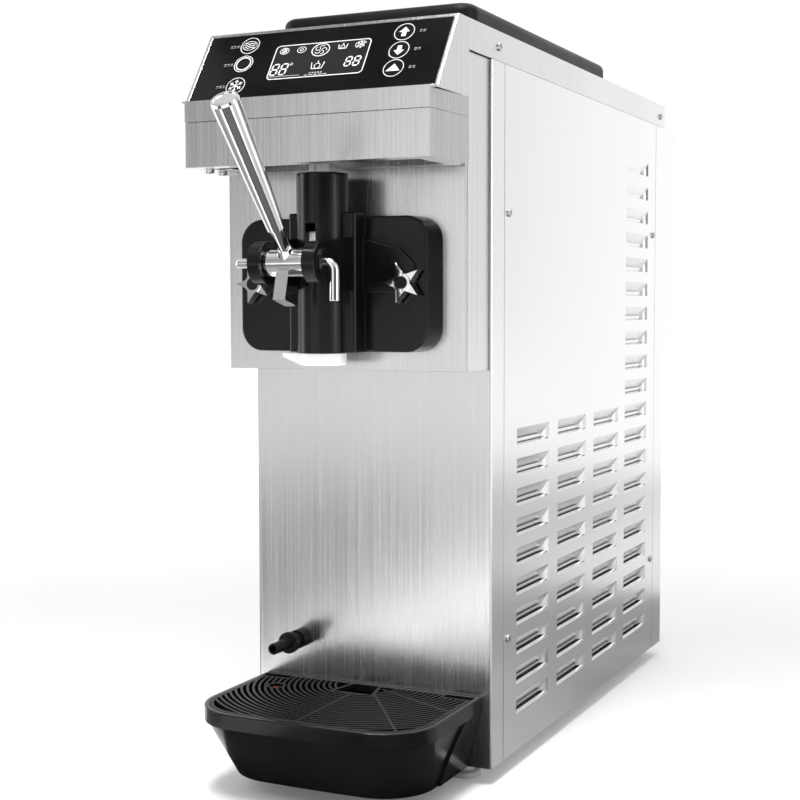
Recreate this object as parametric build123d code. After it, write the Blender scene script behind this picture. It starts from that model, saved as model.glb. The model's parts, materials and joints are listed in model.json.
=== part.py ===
from build123d import *
import math
import os

# Countertop soft-serve ice cream maker, one flavour, with a pull-down draw handle.
# Millimetres, +Z up, +X to the right of someone facing the front, +Y to the back.
# Everything is drawn from the foot of the lower front panel, centred on the width.
# The nodes are then moved so that the origin is the bottom centre of the whole object.

# Driving dimensions
BODY_WIDTH = 232.0
BODY_DEPTH = 542.0
BODY_TOP = 633.5
SKIRT_DROP = 25.0
HEAD_REACH = 50.0
HEAD_BOTTOM = 346.7
DUCT_DEPTH = 58.0
FOOT_DROP = 15.0
SHEET = 1.2
SEAM = 0.3

# Heights and fronts worked out from them
HALF_W = BODY_WIDTH / 2
INNER_W = HALF_W - SHEET
SKIRT_Z = BODY_TOP - SKIRT_DROP
HEAD_Y = -HEAD_REACH
HEAD_HALF_W = 113.2
DUCT_BACK = BODY_DEPTH + DUCT_DEPTH
CONSOLE_Y = -120.3
FRONT_HALF_W = 112.0
CONSOLE_BOTTOM = 516.6
CONSOLE_SPLIT = 554.2
CONSOLE_LEDGE = 571.4

# Slanted control panel: its top edge and its tilt from the vertical
PANEL_TOP_Y = -71.7
PANEL_TILT = 33.56
TILT_SIN = math.sin(math.radians(PANEL_TILT))
TILT_COS = math.cos(math.radians(PANEL_TILT))
OVERLAY_HALF_W = 112.8
OVERLAY_TOP = 3.2
OVERLAY_BOTTOM = 72.8
OVERLAY_THICK = 2.5
DISPLAY_HALF_W = 44.5
DISPLAY_TOP = 18.4
DISPLAY_BOTTOM = 55.8
KEY_RADIUS = 9.2
KEY_COLUMN = 72.0
LEFT_KEYS = {"blend_key": 15.4, "rinse_key": 35.4, "keep_fresh_key": 59.4}
RIGHT_KEYS = {"up_key": 15.2, "down_key": 34.3, "set_key": 53.2}

# Freezing cylinder, door and valve
AXIS_Z = 420.0
CYLINDER_INNER = 44.0
CYLINDER_WALL = 2.5
CYLINDER_BACK = 190.0
DOOR_FRONT = -72.0
DOOR_BACK = -50.4
DOOR_HALF_W = 87.5
DOOR_BACK_HALF_W = 92.5
DOOR_BOTTOM = 363.0
DOOR_TOP = 475.0
DOOR_CORNER = 20.0
STUD_X = 70.0
TUBE_Y = -87.0
TUBE_RADIUS = 21.3
TUBE_BORE = 15.08
TUBE_TOP = 510.0
TUBE_BOTTOM = 362.5
BOSS_FRONT = -90.0
BOSS_HALF_W = 31.5
PORT_Z = 383.0

# Draw handle: its pivot, its rest angles and its swing
PIVOT_Y = -141.4
PIVOT_Z = 435.5
PIN_RADIUS = 4.0
RUNNING = 0.05
LUG_RADIUS = 16.8
LUG_IN = 19.0
LUG_OUT = 30.0
HANDLE_LEAN = 39.3
HANDLE_LENGTH = 151.46
HANDLE_TOP_RADIUS = 11.35
FINGER_REACH = 49.4
FINGER_DROP = 10.0
FINGER_RADIUS = 6.0

# Plunger at rest
PLUNGER_BOTTOM = 371.0
PLUNGER_TOP = 462.0
FINGER_Z = PIVOT_Z - FINGER_REACH * math.sin(math.radians(FINGER_DROP))

# Louvres in the side panels: columns by the start of each slot, rows by pitch
LOUVRE_LENGTH = 86.0
LOUVRE_HEIGHT = 15.0
LOUVRE_DEPTH = 5.8
LOUVRE_END_RADIUS = 9.0
LOUVRE_PITCH_Y = 110.0
LOUVRE_PITCH_Z = 27.0
LOUVRE_FIRST_Y = 60.0
LOUVRE_FIRST_Z = 34.0
LOUVRE_COLUMNS = 4
LOUVRE_ROWS = 10
LOUVRE_TALL_ROWS = 20

# Drip tray
TRAY_TOP = 63.0
TRAY_HALF_W = 107.0
TRAY_DEPTH = 141.5
TRAY_CORNER = 48.0
TRAY_BAND = 13.0
TRAY_SIDE_DRAFT = 13.0
TRAY_FRONT_DRAFT = 27.0
TRAY_BACK = -0.8
GRILLE_THICK = 4.0
GRILLE_PITCH = 5.2
GRILLE_BAR = 2.3
GRILLE_RINGS = 22
GRILLE_INNER = 22.0
SPOKE_ANGLES = (-91.0, -55.0, -27.0)
FLOAT_X = -74.0
FLOAT_Y = -41.0

# Hopper and its lid
LID_HALF_W = 94.0
LID_FRONT = 6.0
LID_BACK = 388.0
LID_TOP = 660.0
HOPPER_FLOOR = 505.0
FEED_Y = 62.0

# Feet
FOOT_X = 82.0
FOOT_FRONT_Y = 24.0
FOOT_REAR_Y = 518.0
FOOT_RADIUS = 14.0

# Drip outlet, tray hooks, power inlet, motor and seals
OUTLET_X = -69.3
OUTLET_Z = 99.0
HOOK_X = 68.0
HOOK_Z = 38.0
INLET_X = -55.0
INLET_Z = 62.0
MOTOR_Z = 272.0
SEAL_RADIUS = 49.5
SEAL_HEIGHTS = (374.9, 391.0)

# The overall box, for the origin
HANDLE_SIN = math.sin(math.radians(HANDLE_LEAN))
HANDLE_COS = math.cos(math.radians(HANDLE_LEAN))
FRONT_MOST_Y = PIVOT_Y - HANDLE_LENGTH * HANDLE_SIN - (HANDLE_TOP_RADIUS - 1.0) * HANDLE_COS
MIDDLE_Y = (FRONT_MOST_Y + DUCT_BACK) / 2
TO_ORIGIN = Pos(0, -MIDDLE_Y, FOOT_DROP)


# Shape helpers

def block(x0, x1, y0, y1, z0, z1):
    """A box between two opposite corners."""
    centre = Pos((x0 + x1) / 2, (y0 + y1) / 2, (z0 + z1) / 2)
    return centre * Box(x1 - x0, y1 - y0, z1 - z0)


def rod(start, end, radius):
    """A round bar between two points."""
    run = Vector(*end) - Vector(*start)
    return Plane(origin=start, z_dir=run) * Pos(0, 0, run.length / 2) * Cylinder(radius, run.length)


def ring(start, end, outer, inner):
    """A round tube between two points."""
    return rod(start, end, outer) - rod(start, end, inner)


def slab(x0, x1, y0, y1, z0, z1, corner):
    """A flat plate with rounded upright corners."""
    outline = Pos((x0 + x1) / 2, (y0 + y1) / 2, z0) * RectangleRounded(x1 - x0, y1 - y0, corner)
    return extrude(outline, z1 - z0, dir=(0, 0, 1))


def plate_y(x0, x1, z0, z1, y0, y1, corner):
    """An upright plate across the width, with rounded corners."""
    middle = Pos((x0 + x1) / 2, y0, (z0 + z1) / 2)
    outline = middle * Rot(90, 0, 0) * RectangleRounded(x1 - x0, z1 - z0, corner)
    return extrude(outline, y1 - y0, dir=(0, 1, 0))


def prism_x(points, x0, x1):
    """A (y, z) polygon drawn out along X."""
    face = make_face(Plane.YZ.offset(x0) * Polyline(points, close=True))
    return extrude(face, x1 - x0, dir=(1, 0, 0))


def prism_y(points, y0, y1):
    """An (x, z) polygon drawn out along Y."""
    face = make_face(Plane.XZ.offset(-y0) * Polyline(points, close=True))
    return extrude(face, y1 - y0, dir=(0, 1, 0))


def prism_z(points, z0, z1):
    """An (x, y) polygon drawn out along Z."""
    face = make_face(Plane.XY.offset(z0) * Polyline(points, close=True))
    return extrude(face, z1 - z0, dir=(0, 0, 1))


def both_sides(piece):
    """A piece and its mirror image across the middle."""
    return [piece, mirror(piece, Plane.YZ)]


def group(pieces):
    """Separate solids that share one node."""
    solids = []
    for piece in pieces:
        solids.extend(piece.solids())
    return Compound(children=solids)


def on_panel(u, v, depth=0.0):
    """A place on the slanted panel: across, down the slope, and out of its face."""
    plane = Plane(origin=(0, PANEL_TOP_Y, BODY_TOP), x_dir=(1, 0, 0), z_dir=(0, -TILT_COS, TILT_SIN))
    return plane * Pos(u, -v, depth)


def pan_head(place, radius, height):
    """A domed screw head with a cross recess, its axis along the place's Z."""
    head = Cylinder(radius, height, align=(Align.CENTER, Align.CENTER, Align.MIN))
    head = fillet(head.edges().group_by(Axis.Z)[-1], height * 0.55)
    slot = Pos(0, 0, height) * Box(radius * 1.1, radius * 0.28, height)
    cross = Pos(0, 0, height) * Box(radius * 0.28, radius * 1.1, height)
    return place * (head - slot - cross)


# Cabinet sheet metal

def base_pan():
    """Floor of the cabinet, a folded pan with holes for the feet."""
    half, front, back, low, high = INNER_W - SEAM, 3.0, BODY_DEPTH - 3.0, 1.0, 24.0
    pan = block(-half, half, front, back, low, high)
    pan -= block(-half + SHEET, half - SHEET, front + SHEET, back - SHEET, low + SHEET, high + 1)
    for x in (-FOOT_X, FOOT_X):
        for y in (FOOT_FRONT_Y, FOOT_REAR_Y):
            pan -= rod((x, y, 0), (x, y, 4), 5.2)
    for x in (-50, 0, 50):
        pan -= slab(x - 14, x + 14, 250, 258, 0, 4, 3.9)
    return pan


def levelling_feet():
    """Four screwed feet: pad, collar and threaded stem."""
    feet = []
    for x in (-FOOT_X, FOOT_X):
        for y in (FOOT_FRONT_Y, FOOT_REAR_Y):
            pad = rod((x, y, -FOOT_DROP), (x, y, -FOOT_DROP + 5), FOOT_RADIUS)
            pad = chamfer(pad.edges().group_by(Axis.Z)[-1], 1.2)
            collar = rod((x, y, -FOOT_DROP + 5), (x, y, 0.9), 8.5)
            stem = rod((x, y, 0.9), (x, y, 12), 5.0)
            feet.append(pad + collar + stem)
    return group(feet)


def corner_posts():
    """Four upright corner sections, with returns behind the lower panel and across the back."""
    plan = [(INNER_W, 0), (HALF_W - 1.0, 0), (HALF_W, 1.6), (HALF_W, 28.2), (INNER_W, 28.2)]
    front = prism_z(plan, 0, SKIRT_Z - SEAM)
    front += block(HEAD_HALF_W + 0.3, INNER_W, 0, SHEET, HEAD_BOTTOM, SKIRT_Z - SEAM)
    front += block(96, INNER_W, 1.5, 2.7, 26, HEAD_BOTTOM - 3)
    rear = block(INNER_W, HALF_W, 507.2, BODY_DEPTH, 0, SKIRT_Z - SEAM)
    rear += block(100, INNER_W, BODY_DEPTH - SHEET, BODY_DEPTH, 0.5, SKIRT_Z - SEAM)
    return group(both_sides(front) + both_sides(rear))


def louvre_places():
    """Lower front corner (y, z) of every louvre in a side panel."""
    places = []
    for column in range(LOUVRE_COLUMNS):
        rows = LOUVRE_TALL_ROWS if column == LOUVRE_COLUMNS - 1 else LOUVRE_ROWS
        for row in range(rows):
            y = LOUVRE_FIRST_Y + column * LOUVRE_PITCH_Y
            places.append((y, LOUVRE_FIRST_Z + row * LOUVRE_PITCH_Z))
    return places


def louvre_scoop(y, z):
    """The pressed-in hood of one louvre, open along its lower edge, with rounded ends."""
    top, low, lip = z + LOUVRE_HEIGHT, z, z + 4.2
    deep = HALF_W - LOUVRE_DEPTH
    outer = [(HALF_W, top + SHEET), (INNER_W, top + SHEET), (deep - SHEET, lip), (deep - SHEET, low),
             (HALF_W, low)]
    inner = [(HALF_W + 1, top), (HALF_W, top), (deep, lip + 0.6), (deep, low - 1), (HALF_W + 1, low - 1)]
    ends = slab(deep, HALF_W + 20, y, y + LOUVRE_LENGTH, low - 2, top + 1, LOUVRE_END_RADIUS)
    hollow = prism_y(inner, y, y + LOUVRE_LENGTH) & ends
    shell = prism_y(outer, y - SHEET, y + LOUVRE_LENGTH + SHEET) - hollow
    floor = [(HALF_W, low - SHEET), (HALF_W, low), (HALF_W - 3.0, low + 1.2), (HALF_W - 3.0, low)]
    return shell + prism_y(floor, y - SHEET, y + LOUVRE_LENGTH + SHEET)


def side_panel():
    """Right-hand side panel with its field of louvres."""
    panel = block(INNER_W, HALF_W, 29.4, 506.0, 0, SKIRT_Z - SEAM)
    fold_front = block(INNER_W - 10, INNER_W, 29.4, 29.4 + SHEET, 26, SKIRT_Z - 8)
    fold_back = block(INNER_W - 10, INNER_W, 506.0 - SHEET, 506.0, 26, SKIRT_Z - 8)
    holes = []
    scoops = []
    for y, z in louvre_places():
        holes.append(block(INNER_W - 1, HALF_W + 1, y, y + LOUVRE_LENGTH, z, z + LOUVRE_HEIGHT))
        scoops.append(louvre_scoop(y, z))
    return panel - holes + scoops + [fold_front, fold_back]


def left_side_panel():
    return mirror(side_panel(), Plane.YZ)


def lower_front_panel():
    """Flat panel under the freezer head, pierced for the drip outlet and the tray hooks."""
    half = INNER_W - SEAM
    panel = block(-half, half, 0, SHEET, SEAM, HEAD_BOTTOM - SEAM)
    panel -= rod((OUTLET_X, -1, OUTLET_Z), (OUTLET_X, 3, OUTLET_Z), 7.0)
    for x in (-HOOK_X, HOOK_X):
        panel -= block(x - 9, x + 9, -1, 3, HOOK_Z - 3, HOOK_Z + 3)
    return panel


def freezer_head_housing():
    """Folded box round the front of the freezing cylinder, open at the back."""
    top = SKIRT_Z - SEAM
    outer = block(-HEAD_HALF_W, HEAD_HALF_W, HEAD_Y, -SEAM, HEAD_BOTTOM, top)
    wings = block(-HEAD_HALF_W, HEAD_HALF_W, HEAD_Y, 20, HEAD_BOTTOM + 3, top)
    inner_half = HEAD_HALF_W - SHEET
    inner = block(-inner_half, inner_half, HEAD_Y + SHEET, 30, HEAD_BOTTOM + SHEET, top + 1)
    housing = outer + wings - inner
    housing -= rod((0, HEAD_Y - 1, AXIS_Z), (0, HEAD_Y + 3, AXIS_Z), 56.0)
    for x in (-STUD_X, STUD_X):
        housing -= rod((x, HEAD_Y - 1, AXIS_Z), (x, HEAD_Y + 3, AXIS_Z), 4.4)
    upright = housing.edges().filter_by(Axis.Z).filter_by_position(Axis.Y, HEAD_Y - 0.1, HEAD_Y + 0.1)
    outside = [e for e in upright if abs(e.center().X) > HEAD_HALF_W - 0.1]
    housing = fillet(outside, 0.8)
    groove = block(HEAD_HALF_W - 0.8, HEAD_HALF_W + 1, HEAD_Y + 1.2, HEAD_Y + 3.0, HEAD_BOTTOM - 1, top + 1)
    return housing - both_sides(groove)


def rear_panel():
    """Back of the cabinet: air opening behind the duct, lower vent slots and the power inlet hole."""
    panel = block(-99.7, 99.7, BODY_DEPTH - SHEET, BODY_DEPTH, 0.5, SKIRT_Z - SEAM)
    panel -= block(-80, 80, BODY_DEPTH - 3, BODY_DEPTH + 1, 385, 590)
    slots = []
    for row in range(10):
        z = 130 + row * 20
        for x in (-58, 0, 58):
            slots.append(plate_y(x - 22, x + 22, z, z + 6, BODY_DEPTH - 3, BODY_DEPTH + 1, 2.9))
    panel -= slots
    inlet = plate_y(INLET_X - 24, INLET_X + 24, INLET_Z - 14, INLET_Z + 14, 535, 545, 0.5)
    return panel - inlet


def rear_air_duct():
    """Hot-air box on the back, open to the cabinet and at its foot, with slots in its rear face."""
    back, low, high, half = DUCT_BACK, 361.0, 608.5, 112.0
    duct = block(-half, half, BODY_DEPTH + SEAM, back, low, high)
    duct -= block(-half + SHEET, half - SHEET, BODY_DEPTH - 1, back - SHEET, low + SHEET, high - SHEET)
    duct = fillet(duct.edges().filter_by(Axis.Z).filter_by_position(Axis.Y, back - 0.1, back + 0.1), 1.1)
    duct -= block(12 - half, half - 12, BODY_DEPTH + 9, back - 12, low - 1, low + 3)
    slots = []
    for row in range(9):
        z = low + 28 + row * 22
        for x in (-60, 0, 60):
            slots.append(plate_y(x - 24, x + 24, z, z + 7, back - 3, back + 1, 3.4))
    return duct - slots


def cover_outline(inset):
    """The cover's section (y, z): top, slanted panel, ledge and front strip."""
    slant_y = PANEL_TOP_Y + inset * TILT_COS
    slant_z = BODY_TOP - inset * TILT_SIN
    top_z = BODY_TOP - inset
    top_y = slant_y - (slant_z - top_z) * TILT_SIN / TILT_COS
    ledge_z = CONSOLE_LEDGE - inset
    ledge_y = slant_y - (slant_z - ledge_z) * TILT_SIN / TILT_COS
    return [(top_y, top_z), (ledge_y, ledge_z), (CONSOLE_Y + inset, ledge_z)]


def strip_wedges(inset):
    """What the front strip's narrowing ends take off the cover below its ledge."""
    wedge = [(FRONT_HALF_W - inset, CONSOLE_Y - 1), (HALF_W + 1, CONSOLE_Y - 1), (HALF_W + 1, HEAD_Y),
             (HALF_W - inset, HEAD_Y)]
    return both_sides(prism_z(wedge, CONSOLE_SPLIT - 2, CONSOLE_LEDGE - SHEET))


def top_cover():
    """Folded cover: hopper opening, skirt, slanted panel frame, ledge and front strip."""
    cheek_back = HEAD_Y - 0.6
    back_in = BODY_DEPTH - SHEET
    front_in = CONSOLE_Y + SHEET
    outer = cover_outline(0) + [(CONSOLE_Y, CONSOLE_SPLIT), (cheek_back, CONSOLE_SPLIT),
                                (cheek_back, SKIRT_Z), (BODY_DEPTH, SKIRT_Z), (BODY_DEPTH, BODY_TOP)]
    inner = cover_outline(SHEET) + [(front_in, CONSOLE_SPLIT - 1), (back_in, CONSOLE_SPLIT - 1),
                                    (back_in, BODY_TOP - SHEET)]
    shell = prism_x(outer, -HALF_W, HALF_W)
    corners = shell.edges().filter_by(Axis.Z).filter_by_position(Axis.Y, CONSOLE_Y - 0.1, CONSOLE_Y + 0.1)
    shell = fillet(corners, 2.0) - strip_wedges(0)
    cavity = prism_x(inner, -INNER_W, INNER_W)
    corners = cavity.edges().filter_by(Axis.Z).filter_by_position(Axis.Y, front_in - 0.1, front_in + 0.1)
    cavity = fillet(corners, 0.8) - strip_wedges(SHEET)
    cover = shell - cavity
    cover -= slab(-86, 86, 17, 367, BODY_TOP - 3, BODY_TOP + 1, 22)
    width = 2 * OVERLAY_HALF_W + 0.4
    height = OVERLAY_BOTTOM - OVERLAY_TOP
    window = on_panel(0, OVERLAY_TOP + height / 2) * Box(width, height + 0.4, 8)
    return cover - window


def console_outline(inset):
    """Plan of the lower console box (x, y), open at the back."""
    back = HEAD_Y - 0.6 + inset
    front = CONSOLE_Y + 0.9 + inset
    return [(-HALF_W + inset, back), (-FRONT_HALF_W + inset, front), (FRONT_HALF_W - inset, front),
            (HALF_W - inset, back)]


def console_fascia():
    """Lower box of the console, folded in along its bottom edge."""
    top = CONSOLE_SPLIT - SEAM
    box = prism_z(console_outline(0), CONSOLE_BOTTOM, top)
    box -= prism_z(console_outline(SHEET), CONSOLE_BOTTOM + SHEET, top + 1)
    lip = prism_z(console_outline(16.0), CONSOLE_BOTTOM - 1, top)
    strut = block(-HALF_W + 3, -90, -84, HEAD_Y - 0.6, CONSOLE_BOTTOM + 1.2, CONSOLE_BOTTOM + 2.4)
    strip = block(-111, 111, -58, -56.8, CONSOLE_BOTTOM - 1.6, CONSOLE_BOTTOM + 0.6)
    return box - lip + both_sides(strut) + strip


def switch_bracket():
    """Small folded tab under the console, over the valve tube."""
    tab = block(-11, 8, -89, -87.8, 512.4, 530)
    foot = block(-11, 8, -87.8, HEAD_Y - SEAM, 522, 523.2)
    screw = pan_head(Pos(-6, -89, 514.9) * Rot(90, 0, 0), 1.9, 1.0)
    return tab + foot + screw


def case_screws():
    """Pan-head screws of the skirt and side panels, and two under the left end of the console."""
    heads = []
    for y, z in ((15, 620.5), (524, 620.0), (39.5, 482), (496, 482), (39.5, 107), (496, 107)):
        heads.extend(both_sides(pan_head(Pos(HALF_W, y, z) * Rot(0, 90, 0), 3.8, 1.8)))
    for x, y in ((-103, -97), (-103, -76)):
        heads.append(pan_head(Pos(x, y, CONSOLE_BOTTOM) * Rot(180, 0, 0), 4.4, 3.4))
    return group(heads)


# Control panel

def control_panel():
    """Black overlay plate in the slanted frame, pierced for the keys and the display."""
    height = OVERLAY_BOTTOM - OVERLAY_TOP
    middle = OVERLAY_TOP + height / 2
    plate = Box(2 * OVERLAY_HALF_W, height, OVERLAY_THICK)
    plate = fillet(plate.edges().filter_by(Axis.Z), 2.0)
    plate = on_panel(0, middle, -OVERLAY_THICK / 2 - 0.15) * plate
    for v in LEFT_KEYS.values():
        plate -= on_panel(-KEY_COLUMN, v) * Cylinder(KEY_RADIUS + 0.15, 12)
    for v in RIGHT_KEYS.values():
        plate -= on_panel(KEY_COLUMN, v) * Cylinder(KEY_RADIUS + 0.15, 12)
    return plate - display_shape(0.1, 12, 0)


def display_shape(gap, thick, sink):
    """The display window's shape, grown by a gap."""
    height = DISPLAY_BOTTOM - DISPLAY_TOP
    outline = RectangleRounded(2 * (DISPLAY_HALF_W + gap), height + 2 * gap, 4.0)
    window = extrude(outline, thick / 2, both=True)
    return on_panel(0, DISPLAY_TOP + height / 2, -sink) * window


def display_window():
    return display_shape(0, 2.0, 1.2)


def key(u, v):
    """One round key with its short stem."""
    cap = Cylinder(KEY_RADIUS, 2.4)
    cap = fillet(cap.edges().group_by(Axis.Z)[-1], 0.35)
    stem = Pos(0, 0, -2.4) * Cylinder(3.0, 2.6)
    return on_panel(u, v, -1.25) * (cap + stem)


def control_board():
    """Circuit board behind the panel, with a switch under each key."""
    board = on_panel(0, 38, -8.9) * Box(196, 60, 1.6)
    parts = []
    for v in LEFT_KEYS.values():
        parts.append(on_panel(-KEY_COLUMN, v, -6.9) * Box(6, 6, 2.4))
    for v in RIGHT_KEYS.values():
        parts.append(on_panel(KEY_COLUMN, v, -6.9) * Box(6, 6, 2.4))
    lcd = on_panel(0, (DISPLAY_TOP + DISPLAY_BOTTOM) / 2, -5.4) * Box(80, 32, 5.4)
    relay = on_panel(40, 60, -13.7) * Box(20, 12, 8)
    return board + parts + lcd + relay


# Mix hopper

def hopper():
    """Steel mix tank with a rim on the cover and a spout into the cylinder."""
    rim = slab(-90, 90, 12, 371, BODY_TOP, BODY_TOP + SHEET, 20)
    tank = slab(-84, 84, 20, 364, HOPPER_FLOOR - SHEET, BODY_TOP + 0.5, 20)
    tank = fillet(tank.edges().group_by(Axis.Z)[0], 12)
    hollow = slab(-84 + SHEET, 84 - SHEET, 20 + SHEET, 364 - SHEET, HOPPER_FLOOR, BODY_TOP + 3, 20 - SHEET)
    hollow = fillet(hollow.edges().group_by(Axis.Z)[0], 12 - SHEET)
    spout = rod((0, FEED_Y, 462), (0, FEED_Y, HOPPER_FLOOR), 10.5)
    return rim + tank + spout - hollow - rod((0, FEED_Y, 455), (0, FEED_Y, HOPPER_FLOOR + 1), 8.5)


def hopper_lid():
    """Black moulded lid with a rounded top edge and a sunk middle."""
    low = BODY_TOP + SEAM
    lid = slab(-LID_HALF_W, LID_HALF_W, LID_FRONT, LID_BACK, low, LID_TOP, 16)
    lid = fillet(lid.edges().group_by(Axis.Z)[-1], 8.0)
    lid -= slab(-91, 91, LID_FRONT + 3, LID_BACK - 3, low - 1, BODY_TOP + 3, 13)
    lid -= slab(-86, 86, 18, 366, low - 1, LID_TOP - 3.2, 12)
    sunk = slab(-70, 70, 34, 349, LID_TOP - 1.6, LID_TOP + 1, 14)
    return lid - sunk


def feed_tube():
    """Upright mix feed tube that stands in the hopper's spout."""
    tube = rod((0, FEED_Y, 470), (0, FEED_Y, HOPPER_FLOOR + 0.5), 8.45)
    tube += rod((0, FEED_Y, HOPPER_FLOOR + 0.5), (0, FEED_Y, HOPPER_FLOOR + 22), 11.5)
    tube += rod((0, FEED_Y, HOPPER_FLOOR + 22), (0, FEED_Y, 616), 7.0)
    tube -= rod((0, FEED_Y, 460), (0, FEED_Y, 620), 4.5)
    return tube - rod((-20, FEED_Y, HOPPER_FLOOR + 12), (20, FEED_Y, HOPPER_FLOOR + 12), 2.5)


# Freezing cylinder and its drive

def freezing_cylinder():
    """Steel barrel with a front flange, a mix inlet and a rear shaft bore."""
    outer = CYLINDER_INNER + CYLINDER_WALL
    barrel = rod((0, HEAD_Y - 0.2, AXIS_Z), (0, CYLINDER_BACK, AXIS_Z), outer)
    barrel += rod((0, HEAD_Y - 0.2, AXIS_Z), (0, HEAD_Y + 4.5, AXIS_Z), 55.5)
    barrel -= rod((0, HEAD_Y - 1, AXIS_Z), (0, CYLINDER_BACK - 4, AXIS_Z), CYLINDER_INNER)
    barrel -= rod((0, CYLINDER_BACK - 5, AXIS_Z), (0, CYLINDER_BACK + 1, AXIS_Z), 12.0)
    return barrel - rod((0, FEED_Y, AXIS_Z + 30), (0, FEED_Y, AXIS_Z + 60), 10.6)


def evaporator_coil():
    """Refrigerant tube wound round the barrel, as close rings."""
    rings = []
    for turn in range(11):
        y = -30 + turn * 18
        if abs(y - FEED_Y) > 16:
            turn_ring = Torus(CYLINDER_INNER + CYLINDER_WALL + 4.1, 4.0)
            rings.append(Pos(0, y, AXIS_Z) * Rot(90, 0, 0) * turn_ring)
    return group(rings)


def cylinder_insulation():
    """Foam block that fills the head round the barrel and its coil."""
    foam = block(-100, 100, -43, 194, 352, 488)
    foam -= rod((0, -60, AXIS_Z), (0, 210, AXIS_Z), CYLINDER_INNER + CYLINDER_WALL + 8.6)
    foam -= rod((0, FEED_Y, AXIS_Z), (0, FEED_Y, 500), 11.0)
    for x in (-STUD_X, STUD_X):
        foam -= rod((x, -60, AXIS_Z), (x, -30, AXIS_Z), 9.0)
    return foam


def rear_shaft_seal():
    """Rubber seal round the drive shaft at the back of the barrel."""
    seal = ring((0, CYLINDER_BACK - 6.0, AXIS_Z), (0, CYLINDER_BACK + 2, AXIS_Z), 11.95, 8.1)
    return seal + ring((0, CYLINDER_BACK - 8.5, AXIS_Z), (0, CYLINDER_BACK - 4.1, AXIS_Z), 16, 8.1)


def beater():
    """Stirring shaft with two helical blades held by cross arms."""
    shaft = rod((0, -44, AXIS_Z), (0, 216, AXIS_Z), 8.0)
    pitch, height, radius = 220.0, 200.0, 36.0
    blades = []
    for start in (0, 180):
        path = Helix(pitch=pitch, height=height, radius=radius)
        profile = Plane(origin=path @ 0, x_dir=(1, 0, 0), z_dir=path % 0) * Rectangle(9, 4)
        blade = sweep(profile, path=path, is_frenet=True)
        blades.append(Pos(0, 170, AXIS_Z) * Rot(90, 0, 0) * Rot(0, 0, start) * blade)
    arms = []
    for y in (-30, 60, 165):
        turn = (170 - y) / pitch * 360
        arms.append(Pos(0, y, AXIS_Z) * Rot(90, 0, 0) * Rot(0, 0, turn) * Box(2 * radius, 6, 8))
    return shaft + blades + arms


def gearbox():
    """Reduction gearbox behind the barrel, bored for the beater shaft and the input shaft."""
    case = block(-44, 44, 203, 292, AXIS_Z - 46, AXIS_Z + 46)
    case = fillet(case.edges().filter_by(Axis.Y), 8)
    for x in (-34, 34):
        case += block(x - 8, x + 8, 196, 300, AXIS_Z - 52, AXIS_Z - 46)
    case -= rod((0, 200, AXIS_Z), (0, 226, AXIS_Z), 8.1)
    return case - rod((0, 262, AXIS_Z), (0, 295, AXIS_Z), 6.1)


def pulley(z, groove, reach):
    """A belt pulley with two rims and its own stub shaft towards the front."""
    hub = rod((0, 306, z), (0, 326, z), groove)
    rims = [rod((0, 304, z), (0, 306, z), groove + 4), rod((0, 326, z), (0, 328, z), groove + 4)]
    return hub + rims + rod((0, 304 - reach, z), (0, 304, z), 6.0)


def drive_belt():
    """Flat belt round both pulleys, with straight runs between them."""
    upper, lower, gap, thick = 46.0, 18.0, 0.4, 3.0
    big, small = upper + gap, lower + gap
    span = AXIS_Z - MOTOR_Z
    lean = math.asin((big - small) / span)

    def hull(a, b, y0, y1):
        low_x, low_z = b * math.cos(lean), MOTOR_Z + b * math.sin(lean)
        high_x, high_z = a * math.cos(lean), AXIS_Z + a * math.sin(lean)
        sides = [(low_x, low_z), (high_x, high_z), (-high_x, high_z), (-low_x, low_z)]
        loop = prism_y(sides, y0, y1)
        loop += rod((0, y0, AXIS_Z), (0, y1, AXIS_Z), a)
        return loop + rod((0, y0, MOTOR_Z), (0, y1, MOTOR_Z), b)

    return hull(big + thick, small + thick, 308, 324) - hull(big, small, 300, 330)


def drive_motor():
    """Beater motor: round shell with end bells and a cradle on the shelf."""
    shell = rod((0, 170, MOTOR_Z), (0, 285, MOTOR_Z), 48)
    shell += rod((0, 162, MOTOR_Z), (0, 170, MOTOR_Z), 42)
    shell += rod((0, 285, MOTOR_Z), (0, 294, MOTOR_Z), 42)
    for x in (-36, 36):
        shell += block(x - 9, x + 9, 185, 270, MOTOR_Z - 57, MOTOR_Z - 26)
    return shell - rod((0, 250, MOTOR_Z), (0, 300, MOTOR_Z), 6.1)


def machine_shelf():
    """Folded shelf that carries the motor, on two uprights from the base."""
    top = MOTOR_Z - 57.0
    shelf = block(-108, 108, 150, 330, top - 2, top)
    for x in (-108, 106):
        shelf += block(x, x + 2, 150, 330, 24.5, top - 2)
    bridge = block(-60, 60, 196, 300, AXIS_Z - 54, AXIS_Z - 52)
    for x in (-62, 60):
        bridge += block(x, x + 2, 196, 300, top, AXIS_Z - 52)
    return shelf + bridge


# Refrigeration

def compressor():
    """Hermetic compressor: domed can on three feet."""
    can = rod((0, 420, 34), (0, 420, 168), 62)
    can = fillet(can.edges().group_by(Axis.Z)[-1], 26)
    can = fillet(can.edges().group_by(Axis.Z)[0], 12)
    for turn in (90, 210, 330):
        angle = math.radians(turn)
        x, y = 66 * math.cos(angle), 420 + 66 * math.sin(angle)
        can += block(x - 12, x + 12, y - 12, y + 12, 36, 39)
        can += rod((x, y, 2.6), (x, y, 36), 8)
    return can


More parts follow.
